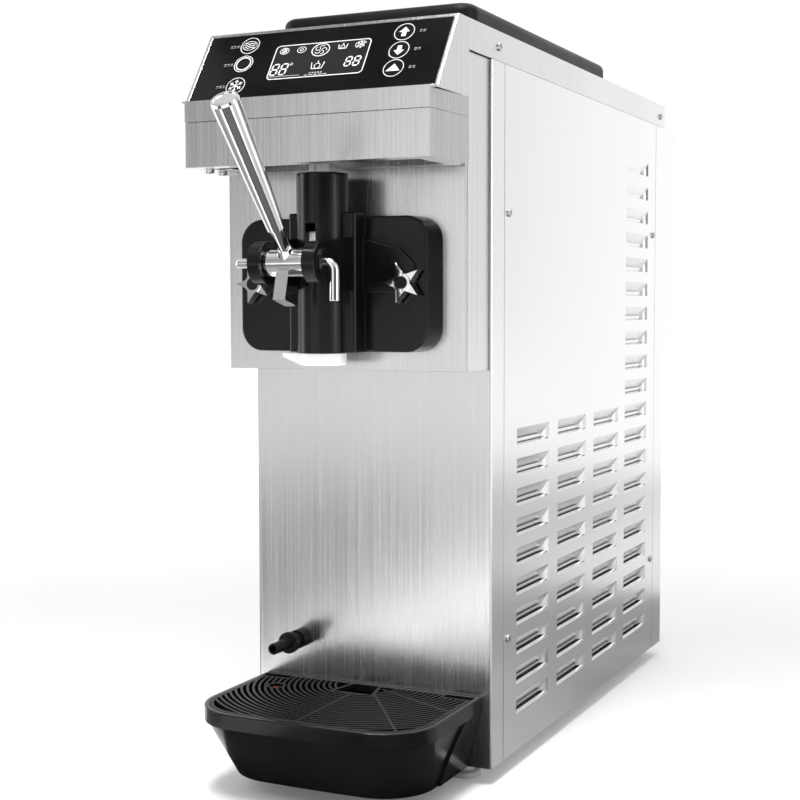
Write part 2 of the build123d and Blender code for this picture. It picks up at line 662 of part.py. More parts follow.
def condenser():
    """Finned condenser block with its tube bends."""
    pieces = []
    for fin in range(24):
        x = -92 + fin * 8
        pieces.append(block(x - 0.4, x + 0.4, 40, 78, 30, 230))
    for row in range(7):
        z = 44 + row * 28
        for y in (50, 68):
            pieces.append(rod((-98, y, z), (98, y, z), 3.5))
    for x in (-98, 94):
        pieces.append(block(x, x + 4, 38, 80, 26, 234))
    return Part() + pieces


def fan_shroud():
    """Square shroud plate round the condenser fan."""
    shroud = block(-98, 98, 84, 86, 30, 230)
    shroud += ring((0, 86, 130), (0, 104, 130), 90, 88)
    return shroud - rod((0, 80, 130), (0, 90, 130), 88)


def condenser_fan():
    """Five-blade axial fan."""
    fan = rod((0, 90, 130), (0, 108, 130), 20)
    for blade in range(5):
        vane = Pos(0, 0, 50) * Rot(0, 0, 32) * Box(2.2, 22, 66)
        fan += Pos(0, 98, 130) * Rot(0, blade * 72, 0) * vane
    return fan + rod((0, 108, 130), (0, 114, 130), 4.0)


def fan_motor():
    """Fan motor on a cross strap fixed to the shroud."""
    motor = rod((0, 111, 130), (0, 146, 130), 26)
    motor += block(-97, 97, 118, 120, 120, 140)
    for x in (-97, 95):
        motor += block(x, x + 2, 86.3, 120, 120, 140)
    return motor - rod((0, 105, 130), (0, 125, 130), 4.1)


def pipe(points, radius, bend):
    """A bent tube through the points."""
    path = FilletPolyline(*points, radius=bend)
    profile = Plane(origin=path @ 0, z_dir=path % 0) * Circle(radius)
    return sweep(profile, path=path)


def refrigerant_pipes():
    """Suction and discharge pipes of the compressor."""
    discharge = [(40, 420, 168), (40, 420, 262), (97, 420, 262), (97, 110, 262), (97, 110, 236)]
    suction = [(-40, 420, 168), (-40, 420, 320), (-40, 350, 320), (-96, 350, 320)]
    suction += [(-96, 350, 496), (-96, 215, 496)]
    return group([pipe(discharge, 3.2, 12), pipe(suction, 4.2, 16)])


def power_inlet():
    """Rear socket for the mains lead, with its three pins."""
    face = BODY_DEPTH + SEAM
    socket = block(-23.5, 23.5, face - 24, face, -13.5, 13.5)
    socket += plate_y(-30, 30, -17, 17, face, face + 2.5, 4)
    socket -= plate_y(-12.5, 12.5, -8.5, 8.5, face - 15, face + 3, 3)
    for x, z in ((-7, -1.5), (0, 2.5), (7, -1.5)):
        socket += block(x - 1, x + 1, face - 17, face - 2, z - 2, z + 2)
    return Pos(INLET_X, 0, INLET_Z) * socket


# Dispensing door, valve and handle

def tangent_point(centre, radius, point, side):
    """Where a line from the point touches the circle, on the given side."""
    dy, dz = point[0] - centre[0], point[1] - centre[1]
    angle = math.atan2(dz, dy) + side * math.acos(radius / math.hypot(dy, dz))
    return (centre[0] + radius * math.cos(angle), centre[1] + radius * math.sin(angle))


def hinge_lug():
    """Right-hand lug that carries the handle's pin."""
    centre = (PIVOT_Y, PIVOT_Z)
    top, low = (DOOR_FRONT, 459.0), (DOOR_FRONT, 411.5)
    web = [low, top, tangent_point(centre, LUG_RADIUS, top, 1), centre,
           tangent_point(centre, LUG_RADIUS, low, -1)]
    lug = prism_x(web, LUG_IN, LUG_OUT)
    eye = rod((LUG_IN, PIVOT_Y, PIVOT_Z), (LUG_OUT, PIVOT_Y, PIVOT_Z), LUG_RADIUS)
    return lug + eye


def door_wing():
    """Arched stiffening beam across the door, from one star knob to the other."""
    half = [(70, 411.5), (79, 420), (77, 437), (64, 449), (30, 458)]
    outline = half + [(-x, z) for x, z in reversed(half)]
    face = make_face(Plane.XZ.offset(-DOOR_FRONT + 3) * Polyline(outline, close=True))
    wing = extrude(fillet(face.vertices(), 5.0), 4, dir=(0, 1, 0))
    front = wing.faces().sort_by(Axis.Y)[0]
    return fillet(front.edges(), 1.2)


def door_plate():
    """The door's plate, wider at its back, with rounded corners."""
    middle = (DOOR_BOTTOM + DOOR_TOP) / 2
    height = DOOR_TOP - DOOR_BOTTOM
    front = RectangleRounded(2 * DOOR_HALF_W, height, DOOR_CORNER)
    back = RectangleRounded(2 * DOOR_BACK_HALF_W, height, DOOR_CORNER)
    upright = Pos(0, 0, middle) * Rot(90, 0, 0)
    plate = loft([upright * Pos(0, 0, -DOOR_FRONT) * front, upright * Pos(0, 0, -DOOR_BACK) * back])
    return fillet(plate.faces().sort_by(Axis.Y)[0].edges(), 2.0)


def dispensing_door():
    """Black moulded door: plate, valve tube, boss, beam and handle lugs in one casting."""
    plate = door_plate()
    tube = rod((0, TUBE_Y, TUBE_BOTTOM), (0, TUBE_Y, TUBE_TOP), TUBE_RADIUS)
    tube = fillet(tube.edges().group_by(Axis.Z)[-1], 1.5)
    boss = block(-BOSS_HALF_W, BOSS_HALF_W, BOSS_FRONT, DOOR_FRONT + 1, DOOR_BOTTOM, 478)
    upright = boss.edges().filter_by(Axis.Z)
    boss = fillet(upright.filter_by_position(Axis.Y, BOSS_FRONT - 0.1, BOSS_FRONT + 0.1), 4)
    boss = fillet(boss.faces().sort_by(Axis.Z)[-1].edges().filter_by_position(Axis.Y, -110, -73), 1.5)
    door = plate + tube + boss + door_wing() + both_sides(hinge_lug())
    door += rod((LUG_OUT - 1, PIVOT_Y, PIVOT_Z), (LUG_OUT + 2.6, PIVOT_Y, PIVOT_Z), 11.0)
    door -= rod((0, TUBE_Y, TUBE_BOTTOM - 1), (0, TUBE_Y, TUBE_TOP + 1), TUBE_BORE)
    door -= block(-4.7, 4.7, -115, TUBE_Y, 418.5, 468.5)
    door -= rod((0, TUBE_Y, PORT_Z), (0, DOOR_BACK + 1, PORT_Z), 6.5)
    door -= rod((-60, PIVOT_Y, PIVOT_Z), (60, PIVOT_Y, PIVOT_Z), PIN_RADIUS + RUNNING)
    for x in (-STUD_X, STUD_X):
        door -= rod((x, -100, AXIS_Z), (x, -40, AXIS_Z), 4.4)
    bottom, mouth = (0, DOOR_BACK - 2.9, AXIS_Z), (0, DOOR_BACK + 1, AXIS_Z)
    return door - ring(bottom, mouth, SEAL_RADIUS + 1.8, SEAL_RADIUS - 1.8)


def door_seal():
    """Rubber ring between the door and the barrel's flange."""
    return Pos(0, DOOR_BACK - 1.3, AXIS_Z) * Rot(90, 0, 0) * Torus(SEAL_RADIUS, 1.4)


def door_studs():
    """Two threaded studs with their nuts inside the head."""
    studs = []
    for x in (-STUD_X, STUD_X):
        stud = rod((x, -82.0, AXIS_Z), (x, -36, AXIS_Z), 4.0)
        hexagon = Pos(x, HEAD_Y + SHEET, AXIS_Z) * Rot(90, 0, 0) * RegularPolygon(7.5, 6)
        nut = extrude(hexagon, 6, dir=(0, 1, 0))
        studs.append(stud + nut)
    return group(studs)


def star_face(outer, inner, y):
    """A five-pointed star across the knob's axis."""
    points = []
    for step in range(10):
        radius = outer if step % 2 == 0 else inner
        angle = math.radians(90 + 18 + step * 36)
        points.append((radius * math.cos(angle), radius * math.sin(angle)))
    return make_face(Plane.XZ.offset(-y) * Polyline(points, close=True))


def star_knob(x):
    """Star-shaped clamping knob, bored for its stud."""
    star = loft([star_face(18.4, 8.6, -75.4), star_face(17.2, 6.8, -82.4)])
    hub = rod((0, -83.4, 0), (0, -75.1, 0), 7.6)
    knob = star + hub - rod((0, -95, 0), (0, -75, 0), PIN_RADIUS + RUNNING)
    return Pos(x, 0, AXIS_Z) * knob


def knob_insert(x):
    """Black disc in the middle of a star knob."""
    disc = rod((0, -84.4, 0), (0, -83.4, 0), 5.2)
    return Pos(x, 0, AXIS_Z) * fillet(disc.edges().sort_by(Axis.Y)[0], 0.5)


def valve_plunger():
    """White plunger with seal grooves and the pocket for the handle's finger."""
    plunger = rod((0, TUBE_Y, PLUNGER_BOTTOM), (0, TUBE_Y, PLUNGER_TOP), 15.0)
    plunger = chamfer(plunger.edges().group_by(Axis.Z)[-1], 1.5)
    for z in SEAL_HEIGHTS:
        plunger -= ring((0, TUBE_Y, z - 1.6), (0, TUBE_Y, z + 1.6), 16, 12.4)
    half = FINGER_RADIUS + 0.3
    return plunger - block(-5.2, 5.2, -110, -84.5, FINGER_Z - half, FINGER_Z + half)


def plunger_seals():
    """Rubber rings of the plunger."""
    return group([Pos(0, TUBE_Y, z) * Torus(13.75, 1.3) for z in SEAL_HEIGHTS])


def nozzle_cap():
    """White outlet cap with a star-shaped hole and a finger tab."""
    low, high = 352.2, 362.2
    cap = rod((0, TUBE_Y, low), (0, TUBE_Y, high), 19.5)
    cap = fillet(cap.edges().group_by(Axis.Z)[0], 2.0)
    cap += rod((0, TUBE_Y, high), (0, TUBE_Y, 369.0), 15.0)
    wedge = [(-35, high), (-14, high), (-14, low), (-16, low), (-35, 359.5)]
    tab = prism_y(wedge, TUBE_Y - 9, TUBE_Y + 9)
    tab = fillet(tab.edges().filter_by(Axis.Z), 3.5)
    cap += tab
    hole = Pos(0, TUBE_Y, low - 1) * make_star(8.0, 4.4, 6)
    cap -= extrude(hole, 12, dir=(0, 0, 1))
    return cap - rod((0, TUBE_Y, 358), (0, TUBE_Y, 370), 12.5)


def make_star(outer, inner, points):
    """A flat star face."""
    corners = []
    for step in range(2 * points):
        radius = outer if step % 2 == 0 else inner
        angle = math.pi * step / points
        corners.append((radius * math.cos(angle), radius * math.sin(angle)))
    return make_face(Polyline(corners, close=True))


def lever_hub():
    """Chrome hub on the pin, with the valve finger, the stop block and the handle's socket."""
    pivot = Pos(0, PIVOT_Y, PIVOT_Z)
    reach = LUG_IN - SEAM
    hub = rod((-reach, 0, 0), (reach, 0, 0), 11.5)
    hub = fillet(hub.edges(), 0.8)
    hub += Rot(HANDLE_LEAN, 0, 0) * Pos(0, 0, 10) * Cone(8.5, 5.6, 8)
    finger = Pos(0, FINGER_REACH / 2, 0) * Box(8, FINGER_REACH, 6.4)
    finger += rod((-4, FINGER_REACH, 0), (4, FINGER_REACH, 0), FINGER_RADIUS)
    hub += Rot(-FINGER_DROP, 0, 0) * finger
    stop = Pos(0, 0, -21) * Box(11, 20, 24)
    hub += Rot(-15, 0, 0) * stop
    hub -= rod((-20, 0, 0), (20, 0, 0), PIN_RADIUS + RUNNING)
    hub -= Rot(HANDLE_LEAN, 0, 0) * Pos(0, 0, 12) * Cylinder(3.0, 6)
    return pivot * hub


def lever_handle():
    """Chrome draw handle: neck, collar and a grip that widens to its flat top."""
    top, length = HANDLE_TOP_RADIUS, HANDLE_LENGTH
    outline = [(0, 9.4), (2.95, 9.4), (2.95, 14.0), (4.6, 14.0), (5.8, 34.0), (7.2, 34.6), (7.3, 37.5),
               (top, length - 2.2), (top - 1.0, length), (top - 2.6, length), (top - 3.2, length - 0.8),
               (0, length - 0.8)]
    face = make_face(Plane.XZ * Polyline(outline, close=True))
    grip = revolve(face, Axis.Z)
    return Pos(0, PIVOT_Y, PIVOT_Z) * Rot(HANDLE_LEAN, 0, 0) * grip


def hinge_pin():
    """L-shaped chrome pin of the handle."""
    start, corner, tip = (-45.9, PIVOT_Y, PIVOT_Z), (39.9, PIVOT_Y, PIVOT_Z), (39.9, PIVOT_Y, 405)
    path = FilletPolyline(start, corner, tip, radius=7.2)
    profile = Plane(origin=path @ 0, z_dir=path % 0) * Circle(PIN_RADIUS)
    pin = sweep(profile, path=path)
    pin += Pos(*start) * Sphere(PIN_RADIUS)
    return fillet(pin.edges().group_by(Axis.Z)[0], 0.6)


# Drip tray

def tray_outline(side, front, corner, back=TRAY_BACK):
    """Plan of the tray: straight back, rounded front corners and a slightly bowed front."""
    half, depth, bow = TRAY_HALF_W - side, TRAY_DEPTH - front, 3.0
    lines = Polyline((half, -depth + bow), (half, back), (-half, back), (-half, -depth + bow))
    face = make_face(lines + ThreePointArc((-half, -depth + bow), (0, -depth), (half, -depth + bow)))
    return fillet(face.vertices().sort_by(Axis.Y)[0:2], corner)


def tray_layer(inset, z0, z1):
    """A straight-sided slice of the tray's plan, inset all round."""
    plan = tray_outline(inset, inset, TRAY_CORNER - inset, TRAY_BACK - inset)
    return extrude(Pos(0, 0, z0) * plan, z1 - z0, dir=(0, 0, 1))


def tray_body(inset, z0, z1):
    """Solid of the tray that narrows from top to bottom, inset all round."""
    top = Pos(0, 0, z1) * tray_outline(inset, inset, TRAY_CORNER - inset, TRAY_BACK - inset)
    side, front = TRAY_SIDE_DRAFT + inset, TRAY_FRONT_DRAFT + inset
    bottom = Pos(0, 0, z0) * tray_outline(side, front, TRAY_CORNER - inset, TRAY_BACK - inset)
    return loft([top, bottom])


def drip_tray():
    """Hanging tray: rim band, tapered pan with a recessed front, ledge for the grille and hooks."""
    band_z = TRAY_TOP - TRAY_BAND
    rim = tray_layer(0, band_z, TRAY_TOP)
    rim = fillet(rim.edges().group_by(Axis.Z)[-1], 0.8)
    full = tray_body(0.0, 0.0, band_z)
    shallow = tray_body(2.2, 0.0, band_z)
    back_part = Pos(0, 24, -12) * Rot(0, 90, 0) * Cylinder(84, 400)
    pan = shallow + (full & back_part)
    tray = pan + rim
    hollow = tray_body(4.6, 3.0, band_z + 1)
    tray -= hollow
    tray -= tray_layer(3.8, band_z, band_z + 20)
    ledge_z = TRAY_TOP - GRILLE_THICK - 2.6
    tray += tray_layer(3.0, ledge_z, ledge_z + 2.4) - tray_layer(7.0, 40, 80)
    for x in (-HOOK_X, HOOK_X):
        tray += block(x - 8, x + 8, TRAY_BACK - 1, 4.5, HOOK_Z - 2, HOOK_Z + 2)
    well = rod((FLOAT_X, FLOAT_Y, 2), (FLOAT_X, FLOAT_Y, 46), 7.5)
    well -= rod((FLOAT_X, FLOAT_Y, 4), (FLOAT_X, FLOAT_Y, 50), 6.0)
    for turn in (0, 90):
        well -= Pos(FLOAT_X, FLOAT_Y, 18) * Rot(0, 0, turn) * Box(20, 4, 26)
    return tray + well


def ring_face(radius, width):
    """A flat ring about the middle of the tray's back edge."""
    return Circle(radius + width / 2) - Circle(radius - width / 2)


def drip_grille():
    """Grille of concentric bars with spokes, a pouring hole and two finger holes at the back."""
    inset = 4.2
    border = inset + 3.5
    plan = tray_outline(inset, inset, TRAY_CORNER - inset, TRAY_BACK - inset)
    core = tray_outline(border, border, TRAY_CORNER - border, TRAY_BACK - border + 1.0)
    centre = Pos(0, -4, 0)
    bars = plan - core
    for index in range(GRILLE_RINGS):
        bars += (centre * ring_face(GRILLE_INNER + 8 + index * GRILLE_PITCH, GRILLE_BAR)) & plan
    for angle in SPOKE_ANGLES:
        bars += (centre * Rot(0, 0, angle) * Pos(90, 0, 0) * Rectangle(140, 2.2)) & plan
    mouth = [(-13, -6.5), (11, -6.5), (17, -34), (-19, -34)]
    rim = [(-16, -5.5), (14, -5.5), (21, -37), (-23, -37)]
    bars += make_face(Polyline(rim, close=True)) & plan
    bars -= make_face(Polyline(mouth, close=True))
    for x in (-90, 90):
        bars += (Pos(x, -10) * RectangleRounded(32, 13, 3)) & plan
        bars -= Pos(x, -10) * RectangleRounded(27, 8.5, 2)
    bars += Pos(FLOAT_X, FLOAT_Y) * Circle(9.0)
    bars -= Pos(FLOAT_X, FLOAT_Y) * Circle(6.6)
    grille = extrude(bars, GRILLE_THICK, dir=(0, 0, 1))
    return Pos(0, 0, TRAY_TOP - GRILLE_THICK + 0.2) * grille


def level_float():
    """Red float whose pin rises through the grille when the tray is full."""
    float_body = rod((FLOAT_X, FLOAT_Y, 5.0), (FLOAT_X, FLOAT_Y, 30), 5.5)
    stem = rod((FLOAT_X, FLOAT_Y, 30), (FLOAT_X, FLOAT_Y, 61.5), 4.2)
    return float_body + fillet(stem.edges().group_by(Axis.Z)[-1], 1.5)


def drip_outlet():
    """Drain spout through the lower panel, with a stop flange and an open tip."""
    spout = rod((OUTLET_X, -54, OUTLET_Z), (OUTLET_X, 12, OUTLET_Z), 5.0)
    for y0, y1, radius in ((-28, -23, 9.6), (-23, -12, 6.4), (-12, -SEAM, 8.5), (-SEAM, 5, 6.7)):
        spout += rod((OUTLET_X, y0, OUTLET_Z), (OUTLET_X, y1, OUTLET_Z), radius)
    return spout - rod((OUTLET_X, -60, OUTLET_Z), (OUTLET_X, 20, OUTLET_Z), 3.2)


NODES = {
    "base_pan": base_pan,
    "levelling_feet": levelling_feet,
    "corner_posts": corner_posts,
    "right_side_panel": side_panel,
    "left_side_panel": left_side_panel,
    "lower_front_panel": lower_front_panel,
    "freezer_head_housing": freezer_head_housing,
    "rear_panel": rear_panel,
    "rear_air_duct": rear_air_duct,
    "top_cover": top_cover,
    "console_fascia": console_fascia,
    "switch_bracket": switch_bracket,
    "case_screws": case_screws,
    "control_panel": control_panel,
    "display_window": display_window,
    "control_board": control_board,
    "hopper": hopper,
    "hopper_lid": hopper_lid,
    "feed_tube": feed_tube,
    "freezing_cylinder": freezing_cylinder,
    "evaporator_coil": evaporator_coil,
    "cylinder_insulation": cylinder_insulation,
    "rear_shaft_seal": rear_shaft_seal,
    "beater": beater,
    "gearbox": gearbox,
    "drive_belt": drive_belt,
    "drive_motor": drive_motor,
    "machine_shelf": machine_shelf,
    "compressor": compressor,
    "condenser": condenser,
    "fan_shroud": fan_shroud,
    "condenser_fan": condenser_fan,
    "fan_motor": fan_motor,
    "refrigerant_pipes": refrigerant_pipes,
    "power_inlet": power_inlet,
    "dispensing_door": dispensing_door,
    "door_seal": door_seal,
    "door_studs": door_studs,
    "valve_plunger": valve_plunger,
    "plunger_seals": plunger_seals,
    "nozzle_cap": nozzle_cap,
    "lever_hub": lever_hub,
    "lever_handle": lever_handle,
    "hinge_pin": hinge_pin,
    "drip_tray": drip_tray,
    "drip_grille": drip_grille,
    "level_float": level_float,
    "drip_outlet": drip_outlet,
}

shapes = {name: make() for name, make in NODES.items()}
shapes["gearbox_pulley"] = pulley(AXIS_Z, 46.0, 36.0)
shapes["motor_pulley"] = pulley(MOTOR_Z, 18.0, 44.0)
for side, x in (("left", -STUD_X), ("right", STUD_X)):
    shapes[side + "_star_knob"] = star_knob(x)
    shapes[side + "_knob_insert"] = knob_insert(x)
for column, keys in ((-KEY_COLUMN, LEFT_KEYS), (KEY_COLUMN, RIGHT_KEYS)):
    for name, v in keys.items():
        shapes[name] = key(column, v)

os.makedirs("parts", exist_ok=True)
for name, shape in shapes.items():
    export_step(TO_ORIGIN * shape, f"parts/{name}.step")
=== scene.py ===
import json
import math

import bmesh
import bpy
from mathutils import Matrix, Vector


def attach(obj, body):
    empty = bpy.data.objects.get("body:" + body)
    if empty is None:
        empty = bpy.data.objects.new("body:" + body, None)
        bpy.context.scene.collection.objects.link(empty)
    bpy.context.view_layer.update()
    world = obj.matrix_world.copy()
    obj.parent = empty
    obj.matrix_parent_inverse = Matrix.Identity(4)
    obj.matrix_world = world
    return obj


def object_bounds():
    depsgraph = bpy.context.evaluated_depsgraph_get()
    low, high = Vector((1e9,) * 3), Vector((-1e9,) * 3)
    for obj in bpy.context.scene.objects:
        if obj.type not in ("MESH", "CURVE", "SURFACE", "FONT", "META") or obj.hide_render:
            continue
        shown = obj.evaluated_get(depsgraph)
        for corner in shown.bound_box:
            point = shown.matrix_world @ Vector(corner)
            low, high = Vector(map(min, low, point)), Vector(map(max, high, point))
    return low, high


# Countertop soft-serve ice cream maker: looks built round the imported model, in metres.

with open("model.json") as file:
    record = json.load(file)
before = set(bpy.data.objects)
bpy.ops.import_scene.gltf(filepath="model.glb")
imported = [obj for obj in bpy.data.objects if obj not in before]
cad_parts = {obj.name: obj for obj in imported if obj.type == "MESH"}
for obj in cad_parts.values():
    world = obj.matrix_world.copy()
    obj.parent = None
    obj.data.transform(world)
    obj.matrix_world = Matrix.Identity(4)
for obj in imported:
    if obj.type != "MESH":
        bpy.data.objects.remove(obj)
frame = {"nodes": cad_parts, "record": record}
cad_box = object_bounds()
nodes = frame["nodes"]

MM = 0.001

# Camera, from the angle of the reference view
CAMERA_PLACE = (0.58127, -1.34104, 0.41588)
CAMERA_FORWARD = (-0.4276, 0.9017, -0.0636)
CAMERA_ROLL = -0.10
CAMERA_LENS = 66.19

# The slanted control panel: its top edge, and its tilt from the vertical
PANEL_TOP = Vector((0.0, -0.249031, 0.6485))
PANEL_TILT = math.radians(33.56)
PANEL_DOWN = Vector((0, -math.sin(PANEL_TILT), -math.cos(PANEL_TILT)))
PANEL_OUT = Vector((0, -math.cos(PANEL_TILT), math.sin(PANEL_TILT)))

# Printed marks on that panel, in millimetres: across, and up the slope from its top edge
KEY_PLACES = {"blend_key": (-72, -15.4), "rinse_key": (-72, -35.4), "keep_fresh_key": (-72, -59.4),
              "up_key": (72, -15.2), "down_key": (72, -34.3), "set_key": (72, -53.2)}
DISPLAY_EDGES = (-44.3, 44.3, -55.6, -18.6)
RIM_OUTER, RIM_INNER = 115.4, 113.2
RIM_TOP, RIM_TOP_INNER, RIM_FOOT = -0.5, -2.9, -73.0

# Where each print starts, over the panel's face
KEY_PRINT, DISPLAY_PRINT, DASH_PRINT = -0.05, -0.2, -0.15

# Brightness that light and reflections find round the horizon: degrees from the front, with
# positive to the right, and grey
SURROUND_SHADES = [(-180, 1.30), (-130, 0.85), (-100, 1.2), (-78, 0.9), (-62, 0.16), (-39, 0.12),
                   (-33, 0.32), (-24, 1.12), (-16, 1.25), (4, 0.95), (20, 0.10), (56, 0.08),
                   (72, 0.95), (96, 1.2), (118, 0.35), (148, 0.60), (156, 1.00), (163, 1.50)]
SURROUND_ABOVE = 0.85
SURROUND_STRENGTH = 0.9


# Camera, world and lights

def add_camera():
    """Camera at the reference view's place and angle."""
    data = bpy.data.cameras.new("camera")
    data.lens = CAMERA_LENS
    data.sensor_width = 36.0
    data.clip_start, data.clip_end = 0.05, 60.0
    camera = bpy.data.objects.new("camera", data)
    bpy.context.scene.collection.objects.link(camera)
    turn = Vector(CAMERA_FORWARD).to_track_quat("-Z", "Y").to_matrix().to_4x4()
    roll = Matrix.Rotation(math.radians(CAMERA_ROLL), 4, "Z")
    camera.matrix_world = Matrix.Translation(CAMERA_PLACE) @ turn @ roll
    bpy.context.scene.camera = camera


def add_world():
    """Soft studio surround for light and reflections, and plain white for the camera."""
    world = bpy.data.worlds.new("studio")
    bpy.context.scene.world = world
    world.use_nodes = True
    tree = world.node_tree
    tree.nodes.clear()
    make, link = tree.nodes.new, tree.links.new
    surround = make("ShaderNodeBackground")
    surround.inputs["Strength"].default_value = SURROUND_STRENGTH
    link(surround_shade(tree), surround.inputs["Color"])
    plain = make("ShaderNodeBackground")
    plain.inputs["Color"].default_value = (1, 1, 1, 1)
    seen = make("ShaderNodeLightPath")
    pick = make("ShaderNodeMixShader")
    link(seen.outputs["Is Camera Ray"], pick.inputs[0])
    link(surround.outputs[0], pick.inputs[1])
    link(plain.outputs[0], pick.inputs[2])
    out = make("ShaderNodeOutputWorld")
    link(pick.outputs[0], out.inputs[0])


def surround_shade(tree):
    """The surround's grey: it varies round the horizon and evens out upwards."""
    make, link = tree.nodes.new, tree.links.new
    where = make("ShaderNodeTexCoord")
    split = make("ShaderNodeSeparateXYZ")
    link(where.outputs["Generated"], split.inputs[0])
    around = make("ShaderNodeValToRGB")
    around.color_ramp.interpolation = "EASE"
    fill_ramp(around.color_ramp, [((degrees + 180) / 360, shade) for degrees, shade in SURROUND_SHADES])
    link(turn_share(tree, split), around.inputs[0])
    upward = make("ShaderNodeMapRange")
    upward.inputs["From Min"].default_value = 0.25
    upward.inputs["From Max"].default_value = 0.75
    link(split.outputs["Z"], upward.inputs["Value"])
    mix = make("ShaderNodeMix")
    mix.data_type = "RGBA"
    link(upward.outputs[0], mix.inputs["Factor"])
    link(around.outputs["Color"], mix.inputs["A"])
    mix.inputs["B"].default_value = (SURROUND_ABOVE, SURROUND_ABOVE, SURROUND_ABOVE, 1)
    return mix.outputs["Result"]


def turn_share(tree, split):
    """How far round from the back a direction points, from 0 to 1, with the front at a half."""
    make, link = tree.nodes.new, tree.links.new
    front = make("ShaderNodeMath")
    front.operation = "MULTIPLY"
    front.inputs[1].default_value = -1.0
    link(split.outputs["Y"], front.inputs[0])
    angle = make("ShaderNodeMath")
    angle.operation = "ARCTAN2"
    link(split.outputs["X"], angle.inputs[0])
    link(front.outputs[0], angle.inputs[1])
    share = make("ShaderNodeMapRange")
    share.inputs["From Min"].default_value = -math.pi
    share.inputs["From Max"].default_value = math.pi
    link(angle.outputs[0], share.inputs["Value"])
    return share.outputs[0]


def fill_ramp(ramp, stops):
    """Sets a colour ramp's stops from (place, grey or colour) pairs."""
    while len(ramp.elements) > 1:
        ramp.elements.remove(ramp.elements[-1])
    for index, (place, shade) in enumerate(stops):
        stop = ramp.elements[0] if index == 0 else ramp.elements.new(place)
        stop.position = place
        colour = shade if isinstance(shade, tuple) else (shade, shade, shade)
        stop.color = (*colour, 1.0)


def add_light(name, place, target, width, height, power, spread=180):
    """A soft rectangular light aimed at a point."""
    data = bpy.data.lights.new(name, "AREA")
    data.shape = "RECTANGLE"
    data.size, data.size_y = width, height
    data.energy = power
    data.spread = math.radians(spread)
    light = bpy.data.objects.new(name, data)
    bpy.context.scene.collection.objects.link(light)
    light.location = place
    aim = Vector(target) - Vector(place)
    light.rotation_euler = aim.to_track_quat("-Z", "Y").to_euler()


def add_flag(name, place, width, depth, tone):
    """A card that only reflections see, to give bright metal its darker bands."""
    mesh = bpy.data.meshes.new(name)
    x, y = width / 2, depth / 2
    mesh.from_pydata([(-x, -y, 0), (x, -y, 0), (x, y, 0), (-x, y, 0)], [], [(0, 1, 2, 3)])
    card = bpy.data.objects.new(name, mesh)
    bpy.context.scene.collection.objects.link(card)
    card.location = place
    for seen in ("visible_camera", "visible_diffuse", "visible_shadow", "visible_transmission"):
        setattr(card, seen, False)
    paint = Paint(name)
    paint.set(Roughness=0.9, Specular_IOR_Level=0.0)
    paint.colour(paint.noise((4, 4, 4), 2), [(0.3, tone * 0.8), (0.7, tone * 1.2)])
    card.data.materials.append(paint.material)


def add_floor():
    """Plain pale floor under the feet, with a painted glow that grows away from the object."""
    mesh = bpy.data.meshes.new("floor")
    bm = bmesh.new()
    bmesh.ops.create_circle(bm, cap_ends=True, radius=14.0, segments=96)
    bm.to_mesh(mesh)
    bm.free()
    floor = bpy.data.objects.new("floor", mesh)
    bpy.context.scene.collection.objects.link(floor)
    floor.location.z = cad_box[0].z
    floor.data.materials.append(floor_glow_paint())


def floor_glow_paint():
    """Matt white with a painted glow: its emission rises away from the object, so it fades into the
    white surround.
    """
    paint = Paint("floor_white")
    paint.set(Roughness=0.8, Specular_IOR_Level=0.1, Emission_Color=(1, 1, 1, 1))
    paint.colour(paint.noise((3, 3, 3), 2), [(0.3, 0.80), (0.7, 0.83)])
    length = paint.tree.nodes.new("ShaderNodeVectorMath")
    length.operation = "LENGTH"
    paint.link(paint.where, length.inputs[0])
    # Painted glow: the floor emits light, more the further it is from the object, on top of what the
    # lamps give
    glow = paint.span(length.outputs["Value"], 0.10, 0.62, (0.4, 2.6))
    paint.link(glow, paint.shader.inputs["Emission Strength"])
    return paint.material


# Materials

